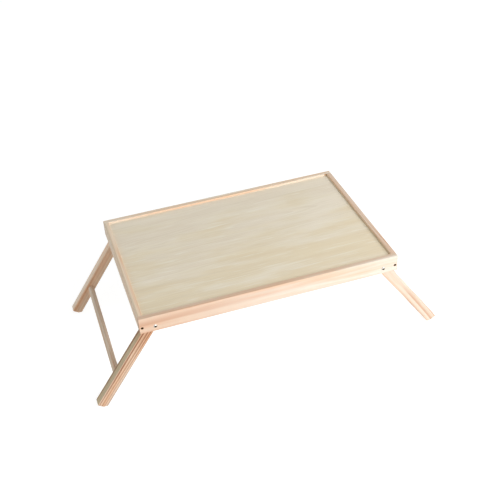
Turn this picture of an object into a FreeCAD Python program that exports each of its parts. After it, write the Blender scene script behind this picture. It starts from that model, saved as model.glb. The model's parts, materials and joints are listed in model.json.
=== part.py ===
import FreeCAD, Part
import math
import os

from FreeCAD import Vector

# Folding laptop table: a pine tray on two leg frames that swing out and fold flat inside its rim.
# Millimetres and degrees. X runs along the tray, Y from front to back, Z up.
# The origin lies on the floor under the middle of the tray, with the legs open.

# Tray
TRAY_LENGTH = 600.0
TRAY_WIDTH = 400.0
RAIL_THICKNESS = 12.0
RAIL_EASING = 1.0
RECESS_DEPTH = 5.0          # rim above the panel
PANEL_THICKNESS = 5.0
GROOVE_DEPTH = 5.0          # how far each rail takes the panel in
GROOVE_CLEARANCE = 0.1

# Legs
LEG_WIDTH = 23.0            # across the leg, in the plane of its swing
LEG_THICKNESS = 21.0        # along the pivot
LEG_EASING = 1.2
LEG_HEADROOM = 5.7          # panel to folded leg
LEG_TUCK = 1.3              # folded leg above the rails' lower edge
LEG_PLAY = 0.3              # washer to leg, on either side
SPLAY_ANGLE = 35.0          # open leg from upright
STOP_CLEARANCE = 0.3        # open leg to the end rail's lower edge
FOLD_TIP_GAP = 27.0         # between the feet when both frames are folded
FOOT_FLAT = 9.0             # foot's flat on the floor, before its edges are eased

# Crossbars and their dowels
CROSSBAR_SIDE = 11.0
CROSSBAR_EASING = 0.8
FOOT_TO_CROSSBAR = 82.0     # foot's end to the bar's middle, along the leg
DOWEL_DIAMETER = 6.0
DOWEL_LENGTH = 24.0
DOWEL_CHAMFER = 0.8
DOWEL_CLEARANCE = 0.05
DOWEL_END_GAP = 0.5

# Pivot bolts, washers and lock nuts
BOLT_DIAMETER = 5.0
BOLT_HEAD_DIAMETER = 9.0
BOLT_HEAD_HEIGHT = 2.4
BOLT_END = 1.6              # bolt past the nut
BOLT_END_CHAMFER = 0.5
BOLT_CLEARANCE = 0.15       # in the rail, the washers and the nut
PIVOT_CLEARANCE = 0.08      # running fit in the leg
SPACER_DIAMETER = 12.0
SPACER_THICKNESS = 1.7
WASHER_DIAMETER = 12.0
WASHER_THICKNESS = 1.0
NUT_SIDES = 6
NUT_ACROSS_FLATS = 8.0
NUT_HEX_HEIGHT = 3.4
NUT_COLLAR_DIAMETER = 7.2
NUT_COLLAR_HEIGHT = 1.4
NUT_CORNER_SHARE = 0.95     # rounded corners, of the width across corners

# Corner screws
SCREW_DIAMETER = 3.5
SCREW_LENGTH = 32.0
SCREW_POINT = 5.0
SCREW_HEAD_DIAMETER = 6.6
SCREW_HEAD_HEIGHT = 2.2
SCREW_SINK = 0.8            # head below the rail's face
SCREW_HEIGHT = 15.0         # above the rails' lower edge
SCREW_CLEARANCE = 0.05

# Cross recesses in the bolt and screw heads
BOLT_CROSS_SPAN = 4.4
BOLT_CROSS_WIDTH = 0.9
BOLT_CROSS_DEPTH = 1.3
SCREW_CROSS_SPAN = 3.6
SCREW_CROSS_WIDTH = 0.8
SCREW_CROSS_DEPTH = 1.2

# Every cut runs this far past the face that it opens
CUT_OVERRUN = 2.0
# Edges that lie in one plane to this length count as level
LEVEL_TOLERANCE = 0.0001

# Rail height: what the rim holds, from the rim's top down to the folded legs
RAIL_HEIGHT = RECESS_DEPTH + PANEL_THICKNESS + LEG_HEADROOM + LEG_WIDTH + LEG_TUCK
OPENING_LENGTH = TRAY_LENGTH - 2 * RAIL_THICKNESS
OPENING_WIDTH = TRAY_WIDTH - 2 * RAIL_THICKNESS

# Pivot place: the open leg's outer face bears on the end rail's eased lower edge
SPLAY = math.radians(SPLAY_ANGLE)
SPLAY_SIN = math.sin(SPLAY)
SPLAY_COS = math.cos(SPLAY)
LEG_HALF = LEG_WIDTH / 2
PIVOT_RISE = LEG_HALF + LEG_TUCK
STOP_REACH = LEG_HALF + STOP_CLEARANCE + RAIL_EASING
PIVOT_SETBACK = (STOP_REACH + (PIVOT_RISE - RAIL_EASING) * SPLAY_SIN) / SPLAY_COS - RAIL_EASING
PIVOT_X = OPENING_LENGTH / 2 - PIVOT_SETBACK

# Leg length: as long as the two frames can be and still fold tip to tip
LEG_REACH = PIVOT_X - FOLD_TIP_GAP / 2
CROSSBAR_REACH = LEG_REACH - FOOT_TO_CROSSBAR
FOOT_TRIM = FOOT_FLAT * SPLAY_SIN * SPLAY_COS

# Heights above the floor
PIVOT_Z = LEG_REACH * SPLAY_COS + LEG_HALF * SPLAY_SIN - FOOT_TRIM
RAIL_BOTTOM = PIVOT_Z - PIVOT_RISE
RIM_TOP = RAIL_BOTTOM + RAIL_HEIGHT
PANEL_TOP = RIM_TOP - RECESS_DEPTH
PANEL_BOTTOM = PANEL_TOP - PANEL_THICKNESS

# Depths from a long rail's outer face inwards, along the pivot bolt
SPACER_DEPTH = RAIL_THICKNESS
LEG_DEPTH = SPACER_DEPTH + SPACER_THICKNESS + LEG_PLAY
LEG_INNER_DEPTH = LEG_DEPTH + LEG_THICKNESS
WASHER_DEPTH = LEG_INNER_DEPTH + LEG_PLAY
NUT_DEPTH = WASHER_DEPTH + WASHER_THICKNESS
BOLT_LENGTH = NUT_DEPTH + NUT_HEX_HEIGHT + NUT_COLLAR_HEIGHT + BOLT_END
CROSSBAR_LENGTH = TRAY_WIDTH - 2 * LEG_INNER_DEPTH

SIDES = {"left": -1, "right": 1}
FACES = {"front": -1, "back": 1}


def box_between(low, high):
    """Box from its lowest corner to its highest corner."""
    size = high - low
    return Part.makeBox(size.x, size.y, size.z, low)


def depth_y(face, depth):
    """Y of a plane at a depth behind the front or back rail's outer face."""
    return face * (TRAY_WIDTH / 2 - depth)


def inward(face):
    """Direction from the front or back rail's outer face into the table."""
    return Vector(0, -face, 0)


def rod(place, face, radius, length):
    """Cylinder from a place, running inwards along Y."""
    return Part.makeCylinder(radius, length, place, inward(face))


def cone(place, face, radius, end_radius, length):
    """Cone from a place, running inwards along Y."""
    return Part.makeCone(radius, end_radius, length, place, inward(face))


def cross_recess(place, face, span, width, depth):
    """Cross-shaped driver recess, cut inwards from a head's outermost point."""
    half_y = Vector(0, depth, 0)
    level = Vector(span / 2, 0, width / 2) + half_y
    upright = Vector(width / 2, 0, span / 2) + half_y
    return box_between(place - level, place + level).fuse(box_between(place - upright, place + upright))


# Tray

def rim_opening_edges(ring):
    """The upper and lower edges of the rim's inner faces."""
    half_length = OPENING_LENGTH / 2 + LEVEL_TOLERANCE
    half_width = OPENING_WIDTH / 2 + LEVEL_TOLERANCE
    found = []
    for edge in ring.Edges:
        bounds = edge.BoundBox
        level = bounds.ZLength < LEVEL_TOLERANCE
        if level and bounds.XMax < half_length and bounds.YMax < half_width:
            if bounds.XMin > -half_length and bounds.YMin > -half_width:
                found.append(edge)
    return found


def rim_ring():
    """The four rails as one ring, sanded smooth and grooved for the panel."""
    corner = Vector(TRAY_LENGTH / 2, TRAY_WIDTH / 2, 0)
    opening = Vector(OPENING_LENGTH / 2, OPENING_WIDTH / 2, CUT_OVERRUN)
    bottom = Vector(0, 0, RAIL_BOTTOM)
    top = Vector(0, 0, RIM_TOP)
    outer = box_between(bottom - corner, top + corner)
    outer = outer.makeFillet(RAIL_EASING, outer.Edges)
    ring = outer.cut(box_between(bottom - opening, top + opening))
    ring = ring.makeFillet(RAIL_EASING, rim_opening_edges(ring))
    return ring.cut(panel_groove())


def panel_groove():
    """Space that the rails leave for the panel."""
    half = Vector(OPENING_LENGTH / 2 + GROOVE_DEPTH, OPENING_WIDTH / 2 + GROOVE_DEPTH, 0)
    low = Vector(0, 0, PANEL_BOTTOM) - half
    high = Vector(0, 0, PANEL_TOP + GROOVE_CLEARANCE) + half
    return box_between(low, high)


def tabletop_panel():
    """Board that lies in the rails' groove."""
    reach = GROOVE_DEPTH - GROOVE_CLEARANCE
    half = Vector(OPENING_LENGTH / 2 + reach, OPENING_WIDTH / 2 + reach, 0)
    return box_between(Vector(0, 0, PANEL_BOTTOM) - half, Vector(0, 0, PANEL_TOP) + half)


def long_rail(ring, face):
    """Front or back rail, full length, bored for its bolts and corner screws."""
    near = depth_y(face, -CUT_OVERRUN)
    far = depth_y(face, RAIL_THICKNESS)
    reach = TRAY_LENGTH / 2 + CUT_OVERRUN
    low = Vector(-reach, min(near, far), RAIL_BOTTOM - CUT_OVERRUN)
    high = Vector(reach, max(near, far), RIM_TOP + CUT_OVERRUN)
    rail = ring.common(box_between(low, high))
    for side in SIDES.values():
        place = pivot_place(side, face, -CUT_OVERRUN)
        radius = BOLT_DIAMETER / 2 + BOLT_CLEARANCE
        rail = rail.cut(rod(place, face, radius, RAIL_THICKNESS + 2 * CUT_OVERRUN))
        rail = rail.cut(screw_hole(side, face))
    return rail


def end_rail(ring, side):
    """Left or right rail between the long rails, with pilot holes for the corner screws."""
    near = side * OPENING_LENGTH / 2
    far = side * (TRAY_LENGTH / 2 + CUT_OVERRUN)
    low = Vector(min(near, far), -OPENING_WIDTH / 2, RAIL_BOTTOM - CUT_OVERRUN)
    high = Vector(max(near, far), OPENING_WIDTH / 2, RIM_TOP + CUT_OVERRUN)
    rail = ring.common(box_between(low, high))
    for face in FACES.values():
        rail = rail.cut(screw_hole(side, face))
    return rail


# Corner screws

def screw_place(side, face, depth):
    """Point on a corner screw's axis, in the middle of the end rail's thickness."""
    x = side * (TRAY_LENGTH / 2 - RAIL_THICKNESS / 2)
    return Vector(x, depth_y(face, depth), RAIL_BOTTOM + SCREW_HEIGHT)


def screw_body(side, face, grow):
    """Countersunk screw, or its hole when grown by a clearance."""
    shank = SCREW_DIAMETER / 2 + grow
    head = SCREW_HEAD_DIAMETER / 2 + grow
    straight = SCREW_LENGTH - SCREW_POINT
    body = rod(screw_place(side, face, SCREW_SINK), face, shank, straight)
    body = body.fuse(cone(screw_place(side, face, SCREW_SINK), face, head, shank, SCREW_HEAD_HEIGHT))
    point = screw_place(side, face, SCREW_SINK + straight)
    return body.fuse(cone(point, face, shank, 0, SCREW_POINT + grow))


def screw_hole(side, face):
    """Hole for a corner screw, open down to the sunk head."""
    radius = SCREW_HEAD_DIAMETER / 2 + SCREW_CLEARANCE
    mouth = rod(screw_place(side, face, -CUT_OVERRUN), face, radius, SCREW_SINK + CUT_OVERRUN)
    return screw_body(side, face, SCREW_CLEARANCE).fuse(mouth)


def corner_screw(side, face):
    """Countersunk wood screw through a long rail into the end rail's end grain."""
    head = screw_place(side, face, SCREW_SINK)
    recess = cross_recess(head, face, SCREW_CROSS_SPAN, SCREW_CROSS_WIDTH, SCREW_CROSS_DEPTH)
    return screw_body(side, face, 0).cut(recess)


# Pivot bolts, washers and nuts

def pivot_place(side, face, depth):
    """Point on a pivot's axis, at a depth behind the long rail's outer face."""
    return Vector(side * PIVOT_X, depth_y(face, depth), PIVOT_Z)


def domed_head(side, face):
    """Low dome on the long rail's outer face."""
    radius = BOLT_HEAD_DIAMETER / 2
    ball = (radius ** 2 + BOLT_HEAD_HEIGHT ** 2) / (2 * BOLT_HEAD_HEIGHT)
    sphere = Part.makeSphere(ball, pivot_place(side, face, ball - BOLT_HEAD_HEIGHT))
    return sphere.common(rod(pivot_place(side, face, -BOLT_HEAD_HEIGHT), face, radius, BOLT_HEAD_HEIGHT))


def pivot_bolt(side, face):
    """Domed bolt through rail, washers, leg and nut."""
    radius = BOLT_DIAMETER / 2
    straight = BOLT_LENGTH - BOLT_END_CHAMFER
    shank = rod(pivot_place(side, face, 0), face, radius, straight)
    end_radius = radius - BOLT_END_CHAMFER
    end = cone(pivot_place(side, face, straight), face, radius, end_radius, BOLT_END_CHAMFER)
    top = pivot_place(side, face, -BOLT_HEAD_HEIGHT)
    recess = cross_recess(top, face, BOLT_CROSS_SPAN, BOLT_CROSS_WIDTH, BOLT_CROSS_DEPTH)
    return domed_head(side, face).fuse([shank, end]).removeSplitter().cut(recess)


def bolt_ring(side, face, depth, diameter, thickness):
    """Flat ring round the pivot bolt."""
    place = pivot_place(side, face, depth)
    ring = rod(place, face, diameter / 2, thickness)
    return ring.cut(bolt_hole(side, face, depth, thickness))


def bolt_hole(side, face, depth, length):
    """Hole for the pivot bolt, from a depth inwards and past both ends."""
    place = pivot_place(side, face, depth - CUT_OVERRUN)
    return rod(place, face, BOLT_DIAMETER / 2 + BOLT_CLEARANCE, length + 2 * CUT_OVERRUN)


def spacer_washer(side, face):
    """Washer that keeps the leg off the rail."""
    return bolt_ring(side, face, SPACER_DEPTH, SPACER_DIAMETER, SPACER_THICKNESS)


def leg_washer(side, face):
    """Washer under the nut, on the leg's inner side."""
    return bolt_ring(side, face, WASHER_DEPTH, WASHER_DIAMETER, WASHER_THICKNESS)


def lock_nut(side, face):
    """Hexagon nut with a round locking collar."""
    place = pivot_place(side, face, NUT_DEPTH)
    corner = NUT_ACROSS_FLATS / 2 / math.cos(math.pi / NUT_SIDES)
    turns = [2 * math.pi * step / NUT_SIDES for step in range(NUT_SIDES + 1)]
    points = [place + Vector(math.cos(turn), 0, math.sin(turn)) * corner for turn in turns]
    hexagon = Part.Face(Part.makePolygon(points)).extrude(inward(face) * NUT_HEX_HEIGHT)
    hexagon = hexagon.common(rod(place, face, corner * NUT_CORNER_SHARE, NUT_HEX_HEIGHT))
    collar_place = pivot_place(side, face, NUT_DEPTH + NUT_HEX_HEIGHT)
    collar = rod(collar_place, face, NUT_COLLAR_DIAMETER / 2, NUT_COLLAR_HEIGHT)
    return hexagon.fuse(collar).cut(bolt_hole(side, face, NUT_DEPTH, NUT_HEX_HEIGHT + NUT_COLLAR_HEIGHT))


# Leg frames

def leg_point(side, face, along, out, depth):
    """Point in a leg's own plane: along it from the pivot, out across it, at a depth from the rail."""
    x = along * SPLAY_SIN + out * SPLAY_COS
    z = out * SPLAY_SIN - along * SPLAY_COS
    return pivot_place(side, face, depth) + Vector(side * x, 0, z)


def leg_outline(side, face):
    """Round top about the pivot, straight sides, and a square end trimmed flat on the floor."""
    trimmed_along = LEG_REACH - FOOT_TRIM / SPLAY_COS
    trimmed_out = FOOT_TRIM / SPLAY_SIN - LEG_HALF
    top_inner = leg_point(side, face, 0, -LEG_HALF, LEG_DEPTH)
    top = leg_point(side, face, -LEG_HALF, 0, LEG_DEPTH)
    top_outer = leg_point(side, face, 0, LEG_HALF, LEG_DEPTH)
    foot_outer = leg_point(side, face, LEG_REACH, LEG_HALF, LEG_DEPTH)
    foot_middle = leg_point(side, face, LEG_REACH, trimmed_out, LEG_DEPTH)
    foot_inner = leg_point(side, face, trimmed_along, -LEG_HALF, LEG_DEPTH)
    corners = [top_outer, foot_outer, foot_middle, foot_inner, top_inner]
    edges = [Part.Arc(top_inner, top, top_outer).toShape()]
    edges += [Part.makeLine(start, end) for start, end in zip(corners, corners[1:])]
    return Part.Face(Part.Wire(edges))


def leg(side, face):
    """Leg with a running bore for its bolt and a blind hole for the crossbar's dowel."""
    body = leg_outline(side, face).extrude(inward(face) * LEG_THICKNESS)
    body = body.makeFillet(LEG_EASING, body.Edges)
    bore_place = pivot_place(side, face, LEG_DEPTH - CUT_OVERRUN)
    bore = rod(bore_place, face, BOLT_DIAMETER / 2 + PIVOT_CLEARANCE, LEG_THICKNESS + 2 * CUT_OVERRUN)
    return body.cut(bore).cut(dowel_hole(side, face))


def crossbar(side):
    """Square bar between the two legs of one end, bored for its dowels."""
    face = FACES["front"]
    half = CROSSBAR_SIDE / 2
    corners = [(-half, -half), (-half, half), (half, half), (half, -half), (-half, -half)]
    points = [leg_point(side, face, CROSSBAR_REACH + a, b, LEG_INNER_DEPTH) for a, b in corners]
    bar = Part.Face(Part.makePolygon(points)).extrude(inward(face) * CROSSBAR_LENGTH)
    long_edges = [edge for edge in bar.Edges if edge.BoundBox.YLength > LEVEL_TOLERANCE]
    bar = bar.makeFillet(CROSSBAR_EASING, long_edges)
    for end in FACES.values():
        bar = bar.cut(dowel_hole(side, end))
    return bar


def dowel_place(side, face, depth):
    """Point on a dowel's axis, at a depth behind the long rail's outer face."""
    return leg_point(side, face, CROSSBAR_REACH, 0, depth)


def dowel_hole(side, face):
    """Hole for a dowel, half in the leg and half in the crossbar."""
    half = DOWEL_LENGTH / 2 + DOWEL_END_GAP
    start = dowel_place(side, face, LEG_INNER_DEPTH - half)
    return rod(start, face, DOWEL_DIAMETER / 2 + DOWEL_CLEARANCE, 2 * half)


def crossbar_dowel(side, face):
    """Chamfered dowel, half in the leg and half in the crossbar."""
    start = dowel_place(side, face, LEG_INNER_DEPTH - DOWEL_LENGTH / 2)
    dowel = rod(start, face, DOWEL_DIAMETER / 2, DOWEL_LENGTH)
    rims = [edge for edge in dowel.Edges if edge.BoundBox.YLength < LEVEL_TOLERANCE]
    return dowel.makeChamfer(DOWEL_CHAMFER, rims)


def table_parts():
    """Every piece of the table under its node's name."""
    ring = rim_ring()
    parts = {"tabletop_panel": tabletop_panel()}
    for face_name, face in FACES.items():
        parts[face_name + "_rail"] = long_rail(ring, face)
    for side_name, side in SIDES.items():
        parts[side_name + "_end_rail"] = end_rail(ring, side)
        parts[side_name + "_crossbar"] = crossbar(side)
        for face_name, face in FACES.items():
            place = face_name + "_" + side_name
            parts[place + "_leg"] = leg(side, face)
            parts[place + "_dowel"] = crossbar_dowel(side, face)
            parts[place + "_pivot_bolt"] = pivot_bolt(side, face)
            parts[place + "_spacer_washer"] = spacer_washer(side, face)
            parts[place + "_leg_washer"] = leg_washer(side, face)
            parts[place + "_lock_nut"] = lock_nut(side, face)
            parts[place + "_corner_screw"] = corner_screw(side, face)
    return parts


os.makedirs("parts", exist_ok=True)
for name, shape in table_parts().items():
    shape.exportStep("parts/" + name + ".step")
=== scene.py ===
import json
import math

import bpy
from mathutils import Matrix, Quaternion, Vector


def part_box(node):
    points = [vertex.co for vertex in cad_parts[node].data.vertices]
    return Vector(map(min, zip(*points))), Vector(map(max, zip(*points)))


# Looks of the folding laptop table: pine, wood-grain panel and steel, in plain studio light.
# Metres and degrees, in the same frame as the parts: X along the tray, Y to the back, Z up.

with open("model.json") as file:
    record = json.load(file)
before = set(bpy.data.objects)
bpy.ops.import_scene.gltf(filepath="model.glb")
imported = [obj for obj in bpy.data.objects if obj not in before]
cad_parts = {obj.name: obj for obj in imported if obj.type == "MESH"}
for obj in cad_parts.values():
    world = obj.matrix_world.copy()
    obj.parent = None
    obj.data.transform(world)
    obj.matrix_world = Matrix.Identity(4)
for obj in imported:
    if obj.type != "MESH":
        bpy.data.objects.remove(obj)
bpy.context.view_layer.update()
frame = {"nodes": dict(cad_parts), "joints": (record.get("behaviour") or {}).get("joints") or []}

SIDES = ("left", "right")
FACES = ("front", "back")

# Camera
IMAGE_SIDE = 500                        # pixels
OPTICAL_AXIS_PIXEL = (225, 250)         # where the lens points, in the image
FOCAL_PIXELS = 869.65
SENSOR_WIDTH = 36.0                     # millimetres
CAMERA_AZIMUTH = -14.366
CAMERA_ELEVATION = 36.165
CAMERA_ROLL = -4.741
CAMERA_DISTANCE = 2.0227
CAMERA_AIM = (-0.05365, -0.02423)       # on the panel's face

# Sky: even light, weaker from straight above than from the walls
SKY_ZENITH = 0.26
SKY_HORIZON = 0.70
SKY_COLOUR = (0.97, 1.0, 0.97)

# Lamps: azimuth, elevation, distance, side, power and colour
LAMPS = {
    "key": (24.0, 30.0, 4.0, 1.2, 90.0, (1.0, 0.975, 0.95)),
    "side": (75.0, 30.0, 1.4, 0.5, 3.8, (1.0, 0.985, 0.97)),
    "fill": (-80.0, 18.0, 4.0, 2.9, 30.0, (0.95, 1.0, 0.97)),
}

# Floor: how much it bounces, and what a seen ray gets
FLOOR_SIDE = 12.0
FLOOR_BOUNCE = 0.8
FLOOR_SEEN = 0.3
FLOOR_GLOW = 0.87

# Colours of wood, as 0 to 255 screen values
EARLYWOOD = (246, 231, 215)
LATEWOOD = (221, 176, 145)
SAPWOOD = (253, 242, 230)
STREAK = (250, 228, 211)                # a rosy tint that the pale wood is multiplied by
END_GRAIN = (132, 100, 80)
CORNER_MARK = (184, 150, 116)
LEG_PALE = (240, 214, 191)
LEG_DARK = (169, 125, 98)
# The crossbar's two colours are made paler than its wood, to paint light onto its face in the tray's
# shadow
BAR_PALE_LIT = (240, 221, 202)
BAR_DARK_LIT = (213, 180, 156)
BEECH_PALE = (222, 184, 142)
BEECH_DARK = (190, 146, 106)

# Tints that a board's colour is multiplied by: painted shade on its narrow faces, and painted shade on one
# side of it
UNTINTED = (255, 255, 255)
RAIL_TOP_SHADE = (240, 245, 246)
BACK_TOP_SHADE = (248, 252, 252)
LEFT_TOP_SHADE = (255, 255, 250)
RIGHT_TOP_SHADE = (238, 230, 224)
LEG_SIDE_SHADE = (218, 223, 209)
BAR_SIDE_SHADE = (232, 235, 236)
FRONT_RAIL_SHADE = (240, 220, 207)
LEFT_RAIL_SHADE = (228, 226, 222)
RIGHT_RAIL_SHADE = (226, 218, 204)
LEG_SHADE = (240, 224, 211)

# Colours of the panel
PANEL_LIGHT = (248, 241, 227)
PANEL_PALE = (243, 233, 214)
PANEL_BASE = (239, 227, 206)
PANEL_DARK = (220, 206, 183)
PANEL_GREY = (254, 253, 255)            # faint tints that the board's colour is multiplied by
PANEL_STRAW = (249, 244, 233)

# Colours of metal
ZINC = (222, 220, 214)
ZINC_SHADE = (176, 174, 168)
PHOSPHATE = (74, 48, 20)
PHOSPHATE_WORN = (112, 84, 50)
# Painted shade inside the recesses of the bolt and screw heads
BOLT_RECESS_SHADE = (92, 82, 70)
SCREW_RECESS_SHADE = (48, 28, 8)

# Growth rings
RING_SPACING = 0.005
RING_WANDER = 2.2                       # how many rings a bend can move a ring by
RING_CONTRAST = (0.6, 0.6)              # at a board's two ends
RING_OFFSET = 0.5                       # how far into a ring the heart line is
RING_ENDS = 0.1                         # shade where a ring starts and ends
RING_SHADES = ((0.06, 0.0), (0.4, 0.15), (0.78, 0.8), (0.9, 1.0))       # place in a ring, and shade
HEART_LEAN = (0.01, 0.01)               # of the heart line from the grain, across and through a board

# How many times longer than wide a figure is
GRAIN_STRETCH = 24.0
FIBRE_STRETCH = 60.0
CLOUD_STRETCH = 4.0
BAND_STRETCH = 16.0
LINE_STRETCH = 45.0

# Noises: size of a blot, octaves of detail, and roughness and distortion where they are set
RING_BENDS = (0.022, 2.0, 0.45)
WOOD_STREAKS = (0.013, 3.0, 0.55)
WOOD_FADES = (0.03, 1.0)
WOOD_FIBRES = (0.0007, 3.0, 0.65)
RESIN_DASHES = (0.0011, 1.0)
PANEL_PATCHES = (0.03, 1.0)
PANEL_HUES = (0.035, 3.0)
PANEL_BANDS = (0.022, 3.0, 0.6)
PANEL_STREAKS = (0.0055, 3.0, 0.55, 0.5)
PANEL_LINES = (0.0022, 3.0, 0.6)
PANEL_PORES = (0.0007, 1.0)
METAL_CLOUDS = (0.004, 4.0)
METAL_SCRATCHES = (0.0004, 2.0, 0.5, 2.0)

# Ranges of wood: two values of a noise or a slope, and what they are mapped to where it isn't 0 and 1
DASH_RANGE = (0.68, 0.76)
STREAK_RANGE = (0.4, 0.7)
FADE_RANGE = (0.3, 0.6, 0.45, 1.0)
FIBRE_RANGE = (0.4, 0.8, 0.0, 0.25)
NARROW_RANGE = (0.5, 0.95)
END_RANGE = (0.6, 0.95)
EDGE_RANGE = (0.985, 0.78)
WOOD_ROUGHNESS = (0.2, 0.8, 0.5, 0.66)

# Ranges of the panel
PORE_RANGE = (0.66, 0.76)
PATCH_RANGE = (0.42, 0.62)
BAND_RANGE = (0.35, 0.65)
GREY_RANGE = (0.42, 0.7)
STRAW_RANGE = (0.58, 0.26)
LIGHT_RANGE = (0.54, 0.74, 0.0, 0.7)
SHADE_RANGE = (0.44, 0.26, 0.0, 0.25)
LINE_RANGE = (0.5, 0.8, 0.0, 0.25)
PANEL_ROUGHNESS = (0.2, 0.8, 0.45, 0.58)

# Ranges of metal, and of round spots as shares of their radius
TARNISH_RANGE = (0.35, 0.7)
SCRATCH_RANGE = (0.3, 0.7)
SPOT_START = 1.25
SPOT_FULL = 0.75

# How strongly details show
DASH_SHARE = 0.25
END_SHARE = 0.7
EDGE_SHARE = 0.2
ARCH_SHARE = 0.34
PORE_SHARE = 0.3
FIBRE_RELIEF = 0.7                      # height of a fibre, where a ring's is 1

# Surfaces
WOOD_RELIEF = 0.00008
PANEL_RELIEF = 0.00003
METAL_RELIEF = 0.00001
SPECULAR = 0.3
EDGE_POLISH = 0.12                      # changes of roughness
SCRATCH_POLISH = 0.08
SCRATCH_ROUGHNESS = 0.1
RECESS_ROUGHNESS = 0.4

# Panel's arched figure round a heart line under it
PANEL_HEART = (0.8, 0.24)               # shares of the way to its left and back edges
PANEL_HEART_DEPTH = 0.02
ARCH_LEAN = (0.05, 0.08)
ARCH_SPACING = 0.006
ARCH_WANDER = 3.0

# Plated metals: bright and dull colour, roughness and metallic share
WASHER_PLATE = (ZINC, ZINC_SHADE, 0.42, 1.0)
NUT_PLATE = (ZINC_SHADE, ZINC, 0.4, 1.0)
BOLT_PLATE = (ZINC, ZINC_SHADE, 0.3, 1.0)
SCREW_PLATE = (PHOSPHATE, PHOSPHATE_WORN, 0.5, 0.7)
BOLT_RECESS = 0.0028                    # radius of the painted shade round a head's axis
SCREW_RECESS = 0.0017

# Axes of a board: along its grain, across it and through it
ALONG_X = (Vector((1, 0, 0)), Vector((0, 0, 1)), Vector((0, -1, 0)))
ALONG_Y = (Vector((0, 1, 0)), Vector((0, 0, 1)), Vector((1, 0, 0)))
FLAT = (Vector((1, 0, 0)), Vector((0, 1, 0)), Vector((0, 0, 1)))

# Masks that drop one axis of a place
ACROSS_X = (0, 1, 1)
ACROSS_Y = (1, 0, 1)

# Grain of each board: where its heart line is from its middle, across and through, and what sets it apart
# In these tables, the tints that darken one side of a board or its narrow faces are painted shade
RAIL_GRAIN = {
    "front_rail": dict(
        axes=ALONG_X, heart=(0.067, 0.4058), lean=(0.0, 0.0), pale=SAPWOOD, contrast=(0.65, 0.15),
        wander=0.6, narrow_face_shade=RAIL_TOP_SHADE, shaded_side=dict(edge=0.0054, lean=-0.012, fade=0.003, tint=FRONT_RAIL_SHADE),
    ),
    "back_rail": dict(
        axes=ALONG_X, heart=(-0.03, -0.07), lean=(-0.015, 0.01), contrast=(0.2, 0.15), narrow_face_shade=BACK_TOP_SHADE,
        # A dark mark at the inner corner where the back rail meets the right rail
        corner_mark=dict(place=(0.2852, 0.0172, 0.006), radius=0.0032),
    ),
    "left_end_rail": dict(
        axes=ALONG_Y, heart=(0.06, 0.05), lean=(0.02, 0.01), contrast=(0.35, 0.25), narrow_face_shade=LEFT_TOP_SHADE,
        shaded_side=dict(edge=-0.002, lean=0.002, fade=0.0015, tint=LEFT_RAIL_SHADE),
    ),
    "right_end_rail": dict(
        axes=ALONG_Y, heart=(-0.05, 0.05), lean=(0.015, -0.02), contrast=(0.9, 0.25), narrow_face_shade=RIGHT_TOP_SHADE,
        shaded_side=dict(edge=-0.0045, lean=0.0, fade=0.001, tint=RIGHT_RAIL_SHADE),
    ),
}
LEG_GRAIN = {
    "front_left": dict(
        heart=(0.093, 0.02), pale=LEG_PALE, dark=LEG_DARK, contrast=(1.8, 1.3), spacing=0.0064,
        narrow_face_shade=LEG_SIDE_SHADE, shaded_side=dict(edge=-0.024, lean=-0.3, fade=0.0105, tint=LEG_SHADE),
    ),
    "back_left": dict(
        heart=(0.05, -0.05), lean=(0.01, 0.02), contrast=(0.5, 0.5),
        shaded_side=dict(edge=-0.006, lean=0.0, fade=0.003, tint=LEG_SHADE),
    ),
    "front_right": dict(heart=(-0.04, 0.06), lean=(0.02, -0.01), contrast=(0.25, 1.0)),
    "back_right": dict(heart=(0.06, 0.05), lean=(-0.01, 0.01)),
}
# Crossbars: paler colours paint light on the face in the tray's shadow, and painted shade darkens the
# outer face
BAR_GRAIN = dict(heart=(0.05, 0.04), pale=BAR_PALE_LIT, dark=BAR_DARK_LIT, narrow_face_shade=BAR_SIDE_SHADE)
DOWEL_GRAIN = dict(
    heart=(0.02, 0.03), pale=BEECH_PALE, dark=BEECH_DARK, contrast=(0.4, 0.4), spacing=0.002,
)


# Small helpers for node trees

def srgb(colour, alpha=1.0):
    """Linear colour from 0 to 255 screen values, by the curve of the sRGB standard."""
    shares = [value / 255 for value in colour]
    linear = [c / 12.92 if c <= 0.04045 else ((c + 0.055) / 1.055) ** 2.4 for c in shares]
    return (*linear, alpha)


def grey(level):
    """Linear grey."""
    return (level, level, level, 1)


def add(tree, kind, inputs=None, **settings):
    """New node with its settings, each input set to a value or linked from an output."""
    made = tree.nodes.new("ShaderNode" + kind)
    for name, value in settings.items():
        setattr(made, name, value)
    for key, value in (inputs or {}).items():
        if isinstance(value, bpy.types.NodeSocket):
            tree.links.new(value, made.inputs[key])
        else:
            made.inputs[key].default_value = value
    return made


def math_of(tree, operation, first, second=0.0, third=0.0, clamp=False):
    """Result of one arithmetic step."""
    inputs = {0: first, 1: second, 2: third}
    return add(tree, "Math", inputs, operation=operation, use_clamp=clamp).outputs[0]


def between(tree, value, low, high, start=0.0, end=1.0):
    """Value mapped smoothly from low to high onto start to end."""
    inputs = {"Value": value, "From Min": low, "From Max": high, "To Min": start, "To Max": end}
    return add(tree, "MapRange", inputs, interpolation_type="SMOOTHSTEP").outputs["Result"]


def spot_of(tree, distance, radius):
    """1 within a radius and 0 outside it, with a soft edge."""
    return between(tree, distance, radius * SPOT_START, radius * SPOT_FULL)


def blend_of(tree, share, first, second, blend_type="MIX"):
    """Colour between two colours."""
    mix = add(tree, "Mix", {"Factor": share}, data_type="RGBA", blend_type=blend_type)
    for name, value in (("A", first), ("B", second)):
        socket = next(s for s in mix.inputs if s.name == name and s.type == "RGBA")
        if isinstance(value, bpy.types.NodeSocket):
            tree.links.new(value, socket)
        else:
            socket.default_value = value
    return next(s for s in mix.outputs if s.type == "RGBA")


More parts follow.
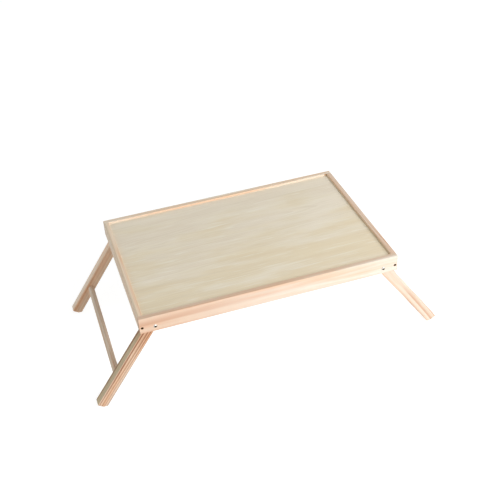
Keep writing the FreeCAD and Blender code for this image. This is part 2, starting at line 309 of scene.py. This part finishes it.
def layered(tree, colour, layers):
    """Colour under layers, each a share, a colour and a way to blend."""
    for share, tint, blend_type in layers:
        colour = blend_of(tree, share, colour, srgb(tint), blend_type)
    return colour


def noise_of(tree, place, blot_size, detail, roughness=0.5, distortion=0.0):
    """Noise from 0 to 1 whose blots are about a blot size across."""
    inputs = {"Vector": place, "Scale": 1 / blot_size, "Detail": detail}
    inputs.update({"Roughness": roughness, "Distortion": distortion})
    return add(tree, "TexNoise", inputs).outputs["Fac"]


def distance_of(tree, place, mask):
    """Distance from the origin, along the axes that a mask keeps."""
    kept = add(tree, "VectorMath", {0: place, 1: mask}, operation="MULTIPLY").outputs[0]
    return add(tree, "VectorMath", {0: kept}, operation="LENGTH").outputs["Value"]


def local_place(tree, origin, axes, stretch):
    """Place in a piece's own frame: along the grain, squeezed by a stretch, then across and through."""
    turn = Matrix(axes).transposed().to_euler()
    inputs = {"Vector": add(tree, "TexCoord").outputs["Object"], "Location": origin}
    inputs.update({"Rotation": turn, "Scale": (stretch, 1, 1)})
    return add(tree, "Mapping", inputs, vector_type="TEXTURE").outputs[0]


def facing(tree, axes):
    """How far the surface faces each of a piece's own axes, from 0 to 1."""
    turn = Matrix(axes).transposed().to_euler()
    inputs = {"Vector": add(tree, "TexCoord").outputs["Normal"], "Rotation": turn}
    own = add(tree, "Mapping", inputs, vector_type="TEXTURE").outputs[0]
    size = add(tree, "VectorMath", {0: own}, operation="ABSOLUTE").outputs[0]
    return add(tree, "SeparateXYZ", {0: size}).outputs


def empty_tree(owner):
    """Node tree of a material or a world, with nothing in it."""
    owner.use_nodes = True
    owner.node_tree.nodes.clear()
    return owner.node_tree


def new_material(name):
    """Material and its empty tree."""
    material = bpy.data.materials.new(name)
    return material, empty_tree(material)


def make_surface(tree, colour, roughness, height, relief, constants):
    """Principled shader with a colour, roughness and relief, and constants on its other inputs."""
    bump = add(tree, "Bump", {"Height": height, "Distance": relief, "Strength": 1.0})
    inputs = {"Base Color": colour, "Roughness": roughness, "Normal": bump.outputs[0], **constants}
    shader = add(tree, "BsdfPrincipled", inputs)
    add(tree, "OutputMaterial", {"Surface": shader.outputs[0]})


# Wood

def ring_shade(tree, heart, axes, lean, spacing, wander):
    """Growth rings round a heart line that leans from the grain: 0 in spring wood, 1 in late wood."""
    leaning = (axes[0] + axes[1] * lean[0] + axes[2] * lean[1]).normalized()
    across = axes[2].cross(leaning).normalized()
    place = local_place(tree, heart, (leaning, across, leaning.cross(across)), GRAIN_STRETCH)
    radius = distance_of(tree, place, ACROSS_X)
    bend = noise_of(tree, place, *RING_BENDS)
    count = math_of(tree, "MULTIPLY_ADD", radius, 1 / spacing, RING_OFFSET)
    phase = math_of(tree, "ADD", count, math_of(tree, "MULTIPLY", bend, wander))
    season = math_of(tree, "FRACT", phase)
    ramp = add(tree, "ValToRGB", {"Fac": season})
    stops = ramp.color_ramp.elements
    for stop in stops:
        stop.color = grey(RING_ENDS)
    for position, shade in RING_SHADES:
        stops.new(position).color = grey(shade)
    return ramp.outputs["Color"]


def shaded_side_layer(tree, own_parts, edge, lean, fade, tint):
    """Layer of painted shade on one side of a board, up to an edge that can lean along the board.

    The edge is measured through the board from its middle, and fade is half the width of its soft border.
    """
    drift = math_of(tree, "MULTIPLY", own_parts["X"], lean)
    depth = math_of(tree, "SUBTRACT", math_of(tree, "SUBTRACT", own_parts["Z"], drift), edge)
    return between(tree, depth, fade, -fade), tint, "MULTIPLY"


def corner_mark_layer(tree, own_place, place, radius):
    """Layer of a dark mark, whose place is along, across and through the board from its middle."""
    reach = add(tree, "VectorMath", {0: own_place, 1: place}, operation="DISTANCE").outputs["Value"]
    return spot_of(tree, reach, radius), CORNER_MARK, "MIX"


def wood(name, node, axes, heart, pale=EARLYWOOD, dark=LATEWOOD, contrast=RING_CONTRAST, lean=HEART_LEAN,
         spacing=RING_SPACING, wander=RING_WANDER, narrow_face_shade=UNTINTED, shaded_side=None, corner_mark=None):
    """Solid wood, so that each face shows its own cut of the figure. Contrast runs from end to end."""
    material, tree = new_material(name)
    low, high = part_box(node)
    middle = (low + high) / 2
    half_length = abs((high - low).dot(axes[0])) / 2
    heart_line = middle + axes[1] * heart[0] + axes[2] * heart[1]
    own_place = local_place(tree, middle, axes, 1.0)
    own_parts = add(tree, "SeparateXYZ", {0: own_place}).outputs
    place = local_place(tree, heart_line, axes, GRAIN_STRETCH)
    fibre_place = local_place(tree, heart_line, axes, FIBRE_STRETCH)

    # Rings that fade in and out, broad streaks, long fibres and short resin dashes
    ring = ring_shade(tree, heart_line, axes, lean, spacing, wander)
    fade = between(tree, noise_of(tree, place, *WOOD_FADES), *FADE_RANGE)
    strength = between(tree, own_parts["X"], -half_length, half_length, *contrast)
    ring_share = math_of(tree, "MULTIPLY", ring, math_of(tree, "MULTIPLY", strength, fade))
    streaks = between(tree, noise_of(tree, place, *WOOD_STREAKS), *STREAK_RANGE)
    fibre = noise_of(tree, fibre_place, *WOOD_FIBRES)
    dashes = between(tree, noise_of(tree, fibre_place, *RESIN_DASHES), *DASH_RANGE)

    # Cut ends and sanded edges
    faces = facing(tree, axes)
    end = between(tree, faces[0], *END_RANGE)
    flattest = math_of(tree, "MAXIMUM", math_of(tree, "MAXIMUM", faces[0], faces[1]), faces[2])
    edge = between(tree, flattest, *EDGE_RANGE)

    layers = [(streaks, STREAK, "MULTIPLY")]
    # Painted shade on one side of the board
    if shaded_side:
        layers.append(shaded_side_layer(tree, own_parts, **shaded_side))
    if corner_mark:
        layers.append(corner_mark_layer(tree, own_place, **corner_mark))
    layers += [
        # Painted shade on the narrow faces: the tops of the rails and the outer sides of a leg and the
        # crossbars
        (between(tree, faces[1], *NARROW_RANGE), narrow_face_shade, "MULTIPLY"),
        (between(tree, fibre, *FIBRE_RANGE), dark, "MIX"),
        (math_of(tree, "MULTIPLY", dashes, DASH_SHARE), LATEWOOD, "MIX"),
        (math_of(tree, "MULTIPLY", end, END_SHARE), END_GRAIN, "MIX"),
        (math_of(tree, "MULTIPLY", edge, EDGE_SHARE), LATEWOOD, "MIX"),
    ]
    colour = layered(tree, blend_of(tree, ring_share, srgb(pale), srgb(dark)), layers)

    height = math_of(tree, "ADD", math_of(tree, "MULTIPLY", fibre, FIBRE_RELIEF), ring_share)
    rough = between(tree, fibre, *WOOD_ROUGHNESS)
    rough = math_of(tree, "SUBTRACT", rough, math_of(tree, "MULTIPLY", edge, EDGE_POLISH))
    make_surface(tree, colour, rough, height, WOOD_RELIEF, {"Specular IOR Level": SPECULAR})
    return material


def panel_board(name):
    """Pale wood-grain board: cloudy bands, long pale streaks, an arched figure, fine lines and pores."""
    material, tree = new_material(name)
    low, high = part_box("tabletop_panel")
    left_share, back_share = PANEL_HEART
    heart = Vector((low.x * left_share, high.y * back_share, low.z - PANEL_HEART_DEPTH))
    cloud_place = local_place(tree, heart, FLAT, CLOUD_STRETCH)
    place = local_place(tree, heart, FLAT, BAND_STRETCH)
    fine_place = local_place(tree, heart, FLAT, LINE_STRETCH)

    # Broad figure
    arch = ring_shade(tree, heart, FLAT, ARCH_LEAN, ARCH_SPACING, ARCH_WANDER)
    figured = between(tree, noise_of(tree, cloud_place, *PANEL_PATCHES), *PATCH_RANGE)
    arch_share = math_of(tree, "MULTIPLY", arch, math_of(tree, "MULTIPLY", figured, ARCH_SHARE))
    across = add(tree, "SeparateXYZ", {0: cloud_place}).outputs["Y"]
    hue = math_of(tree, "ADD", noise_of(tree, cloud_place, *PANEL_HUES), across)
    bands = between(tree, noise_of(tree, place, *PANEL_BANDS), *BAND_RANGE)

    # Fine figure
    streak = noise_of(tree, place, *PANEL_STREAKS)
    line = noise_of(tree, fine_place, *PANEL_LINES)
    pores = between(tree, noise_of(tree, fine_place, *PANEL_PORES), *PORE_RANGE)

    layers = (
        (between(tree, hue, *GREY_RANGE), PANEL_GREY, "MULTIPLY"),
        (between(tree, hue, *STRAW_RANGE), PANEL_STRAW, "MULTIPLY"),
        (arch_share, PANEL_DARK, "MIX"),
        (between(tree, streak, *LIGHT_RANGE), PANEL_LIGHT, "MIX"),
        (between(tree, streak, *SHADE_RANGE), PANEL_DARK, "MIX"),
        (between(tree, line, *LINE_RANGE), PANEL_DARK, "MIX"),
        (math_of(tree, "MULTIPLY", pores, PORE_SHARE), PANEL_DARK, "MIX"),
    )
    colour = layered(tree, blend_of(tree, bands, srgb(PANEL_PALE), srgb(PANEL_BASE)), layers)

    rough = between(tree, line, *PANEL_ROUGHNESS)
    height = math_of(tree, "SUBTRACT", line, pores)
    make_surface(tree, colour, rough, height, PANEL_RELIEF, {"Specular IOR Level": SPECULAR})
    return material


# Metal

def metal(name, bright, dull, roughness, metallic, recess=None):
    """Plated metal with cloudy tone and fine scratches.

    A recess is painted shade round a head's axis, which runs along Y: its centre, radius and colour.
    """
    material, tree = new_material(name)
    place = add(tree, "TexCoord").outputs["Object"]
    tarnish = between(tree, noise_of(tree, place, *METAL_CLOUDS), *TARNISH_RANGE)
    colour = blend_of(tree, tarnish, srgb(bright), srgb(dull))
    scratch = noise_of(tree, place, *METAL_SCRATCHES)
    smooth, scratched = roughness - SCRATCH_POLISH, roughness + SCRATCH_ROUGHNESS
    rough = between(tree, scratch, *SCRATCH_RANGE, smooth, scratched)
    if recess:
        centre, radius, shade_colour = recess
        # Painted shade in the head's recess, where the metal is also rougher
        offset = add(tree, "VectorMath", {0: place, 1: centre}, operation="SUBTRACT").outputs[0]
        recess_shade = spot_of(tree, distance_of(tree, offset, ACROSS_Y), radius)
        colour = blend_of(tree, recess_shade, colour, srgb(shade_colour))
        recess_rough = math_of(tree, "MULTIPLY", recess_shade, RECESS_ROUGHNESS)
        rough = math_of(tree, "ADD", rough, recess_rough, clamp=True)
    make_surface(tree, colour, rough, scratch, METAL_RELIEF, {"Metallic": metallic})
    return material


# Each piece's material

def dress(node, material):
    """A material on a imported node."""
    frame["nodes"][node].material_slots[0].material = material


def middle_of(node):
    """Middle of a node's box."""
    low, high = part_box(node)
    return (low + high) / 2


def leg_axes(side):
    """A leg frame's own axes: down the leg, out across it, and along the pivot."""
    pivot = next(Vector(j["pos_m"]) for j in frame["joints"] if j["child"] == side + "_leg_frame")
    bar = middle_of(side + "_crossbar")
    down = Vector((bar.x - pivot.x, 0, bar.z - pivot.z)).normalized()
    through = Vector((0, 1, 0))
    return down, through.cross(down), through


def dress_wood():
    """Grain along every rail, leg, crossbar and dowel."""
    boards = dict(RAIL_GRAIN)
    for side in SIDES:
        down, out, through = leg_axes(side)
        boards[side + "_crossbar"] = dict(axes=(through, out, -down), **BAR_GRAIN)
        for face in FACES:
            place = face + "_" + side
            boards[place + "_leg"] = dict(axes=(down, out, through), **LEG_GRAIN[place])
            boards[place + "_dowel"] = dict(axes=(through, down, out), **DOWEL_GRAIN)
    for node, grain in boards.items():
        dress(node, wood("wood_" + node, node, **grain))


def dress_metal():
    """Zinc on the pivots, dark phosphate on the corner screws."""
    washer = metal("washer_plate", *WASHER_PLATE)
    nut = metal("nut_plate", *NUT_PLATE)
    for face in FACES:
        for side in SIDES:
            place = face + "_" + side
            bolt = place + "_pivot_bolt"
            screw = place + "_corner_screw"
            # Painted shade in each head's recess
            bolt_recess = (middle_of(bolt), BOLT_RECESS, BOLT_RECESS_SHADE)
            screw_recess = (middle_of(screw), SCREW_RECESS, SCREW_RECESS_SHADE)
            dress(bolt, metal("plate_" + bolt, *BOLT_PLATE, bolt_recess))
            dress(screw, metal("phosphate_" + screw, *SCREW_PLATE, screw_recess))
            dress(place + "_spacer_washer", washer)
            dress(place + "_leg_washer", washer)
            dress(place + "_lock_nut", nut)


# Studio

def direction(azimuth, elevation):
    """Unit vector from the table towards a light or camera."""
    turn, tilt = math.radians(azimuth), math.radians(elevation)
    return Vector((math.sin(turn) * math.cos(tilt), -math.cos(turn) * math.cos(tilt), math.sin(tilt)))


def seen_directly(tree):
    """1 for rays that show the background: from the camera, mirrored or through glass."""
    path = add(tree, "LightPath").outputs
    seen = math_of(tree, "MAXIMUM", path["Is Camera Ray"], path["Is Glossy Ray"])
    return math_of(tree, "MAXIMUM", seen, path["Is Transmission Ray"])


def make_world():
    """White behind the table, and soft light on it."""
    world = bpy.data.worlds.new("studio")
    bpy.context.scene.world = world
    tree = empty_tree(world)
    upwards = add(tree, "SeparateXYZ", {0: add(tree, "TexCoord").outputs["Generated"]}).outputs["Z"]
    level = between(tree, upwards, 0.0, 1.0, SKY_HORIZON, SKY_ZENITH)
    light = add(tree, "Background", {"Color": (*SKY_COLOUR, 1), "Strength": level}).outputs[0]
    white = add(tree, "Background", {"Color": grey(1), "Strength": 1.0}).outputs[0]
    mix = add(tree, "MixShader", {0: seen_directly(tree), 1: light, 2: white})
    add(tree, "OutputWorld", {"Surface": mix.outputs[0]})


def make_floor():
    """White floor that keeps a soft shadow."""
    mesh = bpy.data.meshes.new("floor")
    half = FLOOR_SIDE / 2
    corners = [(-half, -half, 0), (half, -half, 0), (half, half, 0), (-half, half, 0)]
    mesh.from_pydata(corners, [], [(0, 1, 2, 3)])
    floor = bpy.data.objects.new("floor", mesh)
    bpy.context.scene.collection.objects.link(floor)
    material, tree = new_material("floor_white")
    bounce = add(tree, "BsdfDiffuse", {"Color": grey(FLOOR_BOUNCE)}).outputs[0]
    shade = add(tree, "BsdfDiffuse", {"Color": grey(FLOOR_SEEN)}).outputs[0]
    glow = add(tree, "Emission", {"Color": grey(1), "Strength": FLOOR_GLOW}).outputs[0]
    white = add(tree, "AddShader", {0: shade, 1: glow}).outputs[0]
    mix = add(tree, "MixShader", {0: seen_directly(tree), 1: bounce, 2: white})
    add(tree, "OutputMaterial", {"Surface": mix.outputs[0]})
    mesh.materials.append(material)


def make_lamps():
    """Soft key light from the front right, a near lamp on the right, and a weak fill from the left."""
    for name, (azimuth, elevation, distance, side, power, colour) in LAMPS.items():
        lamp = bpy.data.lights.new(name, "AREA")
        lamp.energy = power
        lamp.color = colour
        lamp.size = side
        light = bpy.data.objects.new(name, lamp)
        towards = direction(azimuth, elevation)
        light.location = middle_of("tabletop_panel") + towards * distance
        light.rotation_euler = (-towards).to_track_quat("-Z", "Y").to_euler()
        bpy.context.scene.collection.objects.link(light)


def make_camera():
    """Camera at the photograph's angle, distance and lens."""
    lens = bpy.data.cameras.new("camera")
    lens.sensor_width = SENSOR_WIDTH
    lens.lens = FOCAL_PIXELS / IMAGE_SIDE * SENSOR_WIDTH
    lens.shift_x = 0.5 - OPTICAL_AXIS_PIXEL[0] / IMAGE_SIDE
    lens.shift_y = OPTICAL_AXIS_PIXEL[1] / IMAGE_SIDE - 0.5
    camera = bpy.data.objects.new("camera", lens)
    back = direction(CAMERA_AZIMUTH, CAMERA_ELEVATION)
    panel_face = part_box("tabletop_panel")[1].z
    camera.location = Vector((*CAMERA_AIM, panel_face)) + back * CAMERA_DISTANCE
    level = (-back).to_track_quat("-Z", "Y")
    roll = Quaternion((0, 0, 1), math.radians(CAMERA_ROLL))
    camera.rotation_euler = (level @ roll).to_euler()
    bpy.context.scene.collection.objects.link(camera)
    bpy.context.scene.camera = camera


dress_wood()
dress("tabletop_panel", panel_board("panel_board_grain"))
dress_metal()
make_world()
make_floor()
make_lamps()
make_camera()
bpy.context.scene.view_settings.view_transform = "Standard"
